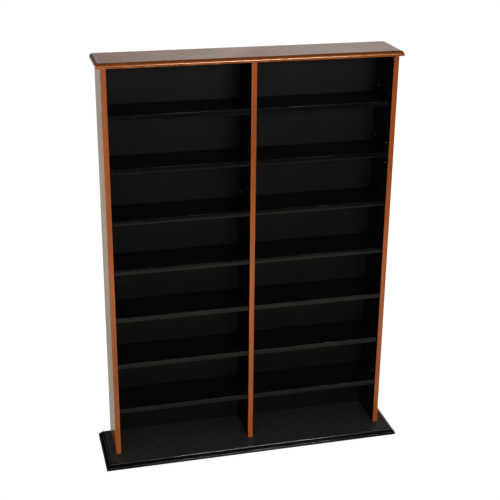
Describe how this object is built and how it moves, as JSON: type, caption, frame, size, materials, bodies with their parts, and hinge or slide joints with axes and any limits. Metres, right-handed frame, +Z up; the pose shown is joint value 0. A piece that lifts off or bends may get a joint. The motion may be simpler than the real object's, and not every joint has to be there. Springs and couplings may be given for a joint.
{
  "type": "display cabinet",
  "caption": "Open-fronted display cabinet: side-by-side columns of slide-out shelves for upright disc cases, under a moulded top, on a wider moulded base.",
  "frame": {"origin": "on the floor, under the middle of the whole cabinet's width and depth, base included", "axes": "+X to the right as seen from the front, +Y from the open front towards the back, +Z up"},
  "size_m": [0.975, 0.2194, 1.291],
  "materials": {
    "cherry_laminate": "satin cherry wood-grain laminate on particle board",
    "black_laminate": "satin black laminate on particle board",
    "black_hardboard": "matt black painted hardboard",
    "zinc_steel": "bright zinc plate"
  },
  "bodies": {
    "cabinet": {"top_panel": "cherry_laminate", "top_moulding_front": "cherry_laminate", "top_moulding_left": "cherry_laminate", "top_moulding_right": "cherry_laminate", "base_panel": "black_laminate", "base_moulding_front": "black_laminate", "base_moulding_left": "black_laminate", "base_moulding_right": "black_laminate", "left_side": "cherry_laminate", "left_side_edge_band": "cherry_laminate", "centre_divider": "black_laminate", "centre_divider_edge_band": "cherry_laminate", "right_side": "cherry_laminate", "right_side_edge_band": "cherry_laminate", "back_sheet_left": "black_hardboard", "back_sheet_right": "black_hardboard", "left_shelf_4": "black_laminate", "right_shelf_4": "black_laminate", "left_shelf_1_wire_left": "zinc_steel", "left_shelf_1_wire_right": "zinc_steel", "left_shelf_2_wire_left": "zinc_steel", "left_shelf_2_wire_right": "zinc_steel", "left_shelf_3_wire_left": "zinc_steel", "left_shelf_3_wire_right": "zinc_steel", "left_shelf_5_wire_left": "zinc_steel", "left_shelf_5_wire_right": "zinc_steel", "left_shelf_6_wire_left": "zinc_steel", "left_shelf_6_wire_right": "zinc_steel", "left_shelf_7_wire_left": "zinc_steel", "left_shelf_7_wire_right": "zinc_steel", "right_shelf_1_wire_left": "zinc_steel", "right_shelf_1_wire_right": "zinc_steel", "right_shelf_2_wire_left": "zinc_steel", "right_shelf_2_wire_right": "zinc_steel", "right_shelf_3_wire_left": "zinc_steel", "right_shelf_3_wire_right": "zinc_steel", "right_shelf_5_wire_left": "zinc_steel", "right_shelf_5_wire_right": "zinc_steel", "right_shelf_6_wire_left": "zinc_steel", "right_shelf_6_wire_right": "zinc_steel", "right_shelf_7_wire_left": "zinc_steel", "right_shelf_7_wire_right": "zinc_steel", "base_screw_left_front": "zinc_steel", "base_screw_left_rear": "zinc_steel", "base_screw_centre_front": "zinc_steel", "base_screw_centre_rear": "zinc_steel", "base_screw_right_front": "zinc_steel", "base_screw_right_rear": "zinc_steel"},
    "left_shelf_1": {"left_shelf_1": "black_laminate"},
    "left_shelf_2": {"left_shelf_2": "black_laminate"},
    "left_shelf_3": {"left_shelf_3": "black_laminate"},
    "left_shelf_5": {"left_shelf_5": "black_laminate"},
    "left_shelf_6": {"left_shelf_6": "black_laminate"},
    "left_shelf_7": {"left_shelf_7": "black_laminate"},
    "right_shelf_1": {"right_shelf_1": "black_laminate"},
    "right_shelf_2": {"right_shelf_2": "black_laminate"},
    "right_shelf_3": {"right_shelf_3": "black_laminate"},
    "right_shelf_5": {"right_shelf_5": "black_laminate"},
    "right_shelf_6": {"right_shelf_6": "black_laminate"},
    "right_shelf_7": {"right_shelf_7": "black_laminate"}
  },
  "joints": [
    {"name": "left_shelf_1_slide", "type": "slide", "parent": "cabinet", "child": "left_shelf_1", "axis": [0, -1, 0], "range_m": [0, 0.15]},
    {"name": "left_shelf_2_slide", "type": "slide", "parent": "cabinet", "child": "left_shelf_2", "axis": [0, -1, 0], "range_m": [0, 0.15]},
    {"name": "left_shelf_3_slide", "type": "slide", "parent": "cabinet", "child": "left_shelf_3", "axis": [0, -1, 0], "range_m": [0, 0.15]},
    {"name": "left_shelf_5_slide", "type": "slide", "parent": "cabinet", "child": "left_shelf_5", "axis": [0, -1, 0], "range_m": [0, 0.15]},
    {"name": "left_shelf_6_slide", "type": "slide", "parent": "cabinet", "child": "left_shelf_6", "axis": [0, -1, 0], "range_m": [0, 0.15]},
    {"name": "left_shelf_7_slide", "type": "slide", "parent": "cabinet", "child": "left_shelf_7", "axis": [0, -1, 0], "range_m": [0, 0.15]},
    {"name": "right_shelf_1_slide", "type": "slide", "parent": "cabinet", "child": "right_shelf_1", "axis": [0, -1, 0], "range_m": [0, 0.15]},
    {"name": "right_shelf_2_slide", "type": "slide", "parent": "cabinet", "child": "right_shelf_2", "axis": [0, -1, 0], "range_m": [0, 0.15]},
    {"name": "right_shelf_3_slide", "type": "slide", "parent": "cabinet", "child": "right_shelf_3", "axis": [0, -1, 0], "range_m": [0, 0.15]},
    {"name": "right_shelf_5_slide", "type": "slide", "parent": "cabinet", "child": "right_shelf_5", "axis": [0, -1, 0], "range_m": [0, 0.15]},
    {"name": "right_shelf_6_slide", "type": "slide", "parent": "cabinet", "child": "right_shelf_6", "axis": [0, -1, 0], "range_m": [0, 0.15]},
    {"name": "right_shelf_7_slide", "type": "slide", "parent": "cabinet", "child": "right_shelf_7", "axis": [0, -1, 0], "range_m": [0, 0.15]}
  ]
}
